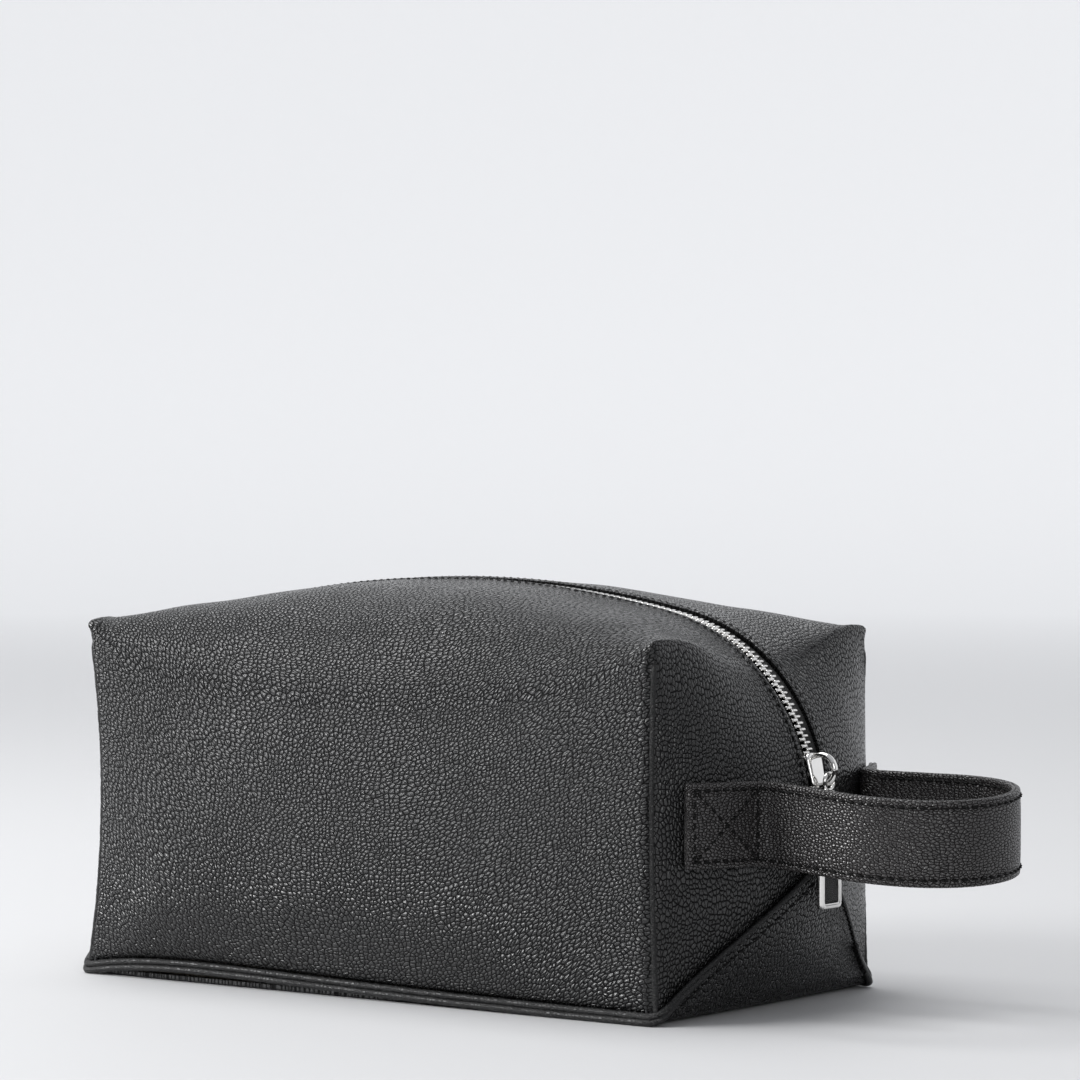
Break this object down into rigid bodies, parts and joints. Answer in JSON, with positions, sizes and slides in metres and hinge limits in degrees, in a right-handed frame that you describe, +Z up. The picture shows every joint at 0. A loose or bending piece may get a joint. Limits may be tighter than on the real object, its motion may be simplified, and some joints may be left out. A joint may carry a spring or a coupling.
{
  "type": "makeup bag",
  "caption": "Boxy pebbled leather wash bag with pointed top corners, a metal zip over the top and down both ends, and a flat strap loop handle on one end.",
  "frame": {"origin": "centre of the base, on the surface the bag stands on", "axes": "+Z up, +X along the bag towards the end with the strap handle, -Y towards the front face"},
  "size_m": [0.3898, 0.1432, 0.1514],
  "materials": {
    "leather_body": "pebbled satin",
    "leather_trim": "rolled satin edge",
    "leather_strap": "pebbled satin, painted edge",
    "lining_cloth": "plain woven",
    "binding_cloth": "ribbed tape",
    "board": "matt board",
    "zip_tape": "woven tape",
    "zip_metal": "nickel plated teeth",
    "polished_nickel": "polished",
    "pull_inlay": "matt"
  },
  "bodies": {
    "bag": {"anchor_backing_back": "board", "anchor_backing_front": "board", "back_panel": "leather_body", "base_board": "board", "base_panel": "leather_body", "base_welt_back": "leather_trim", "base_welt_front": "leather_trim", "corner_piping_left_back": "leather_trim", "corner_piping_left_front": "leather_trim", "corner_piping_right_back": "leather_trim", "corner_piping_right_front": "leather_trim", "front_panel": "leather_body", "handle_anchor_back_inner": "leather_strap", "handle_anchor_back_outer": "leather_strap", "handle_anchor_front_inner": "leather_strap", "handle_anchor_front_outer": "leather_strap", "left_end_back": "leather_body", "left_end_front": "leather_body", "lining_back": "lining_cloth", "lining_base": "lining_cloth", "lining_front": "lining_cloth", "lining_left_end": "lining_cloth", "lining_right_end": "lining_cloth", "pocket_binding": "binding_cloth", "pocket_panel": "lining_cloth", "right_end_back": "leather_body", "right_end_front": "leather_body", "zip_bottom_stop": "zip_metal", "zip_tape_left_end": "zip_tape", "zip_tape_right_end": "zip_tape", "zip_teeth_left_end": "zip_metal", "zip_teeth_right_end": "zip_metal", "zip_top_stops": "zip_metal"},
    "mouth_front": {"top_front": "leather_body", "lining_top_front": "lining_cloth", "zip_tape_front": "zip_tape", "zip_teeth_front": "zip_metal"},
    "mouth_back": {"top_back": "leather_body", "lining_top_back": "lining_cloth", "zip_tape_back": "zip_tape", "zip_teeth_back": "zip_metal"},
    "slider": {"zip_slider": "polished_nickel", "slider_bail": "polished_nickel"},
    "pull": {"pull_connector": "polished_nickel", "pull_frame": "polished_nickel", "pull_inlay": "pull_inlay"},
    "handle": {"handle_loop_outer": "leather_strap", "handle_loop_inner": "leather_strap"}
  },
  "joints": [
    {"name": "zip_travel", "type": "hinge", "parent": "bag", "child": "slider", "pos_m": [0, 0, 0.04971], "axis": [0, -1, 0], "range_deg": [0, 153], "deforming": ["zip_tape_right_end", "zip_tape_left_end", "zip_teeth_right_end", "zip_teeth_left_end"]},
    {"name": "mouth_front_lift", "type": "hinge", "parent": "bag", "child": "mouth_front", "pos_m": [0, -0.0603, 0.1363], "axis": [1, 0, 0], "range_deg": [0, 55]},
    {"name": "mouth_back_lift", "type": "hinge", "parent": "bag", "child": "mouth_back", "pos_m": [0, 0.0603, 0.1363], "axis": [-1, 0, 0], "range_deg": [0, 55]},
    {"name": "pull_swing", "type": "hinge", "parent": "slider", "child": "pull", "pos_m": [0.15901, 0, 0.08523], "axis": [0, -1, 0], "range_deg": [0, 100]},
    {"name": "handle_flex", "type": "hinge", "parent": "bag", "child": "handle", "pos_m": [0.152, 0, 0.0685], "axis": [0, -1, 0], "range_deg": [-20, 30], "stiffness_Nm_per_rad": 0.1, "springref_deg": 4.58}
  ],
  "couplings": [
    {"joint": "mouth_front_lift", "follows": "zip_travel", "ratio": 0.359},
    {"joint": "mouth_back_lift", "follows": "zip_travel", "ratio": 0.359}
  ]
}
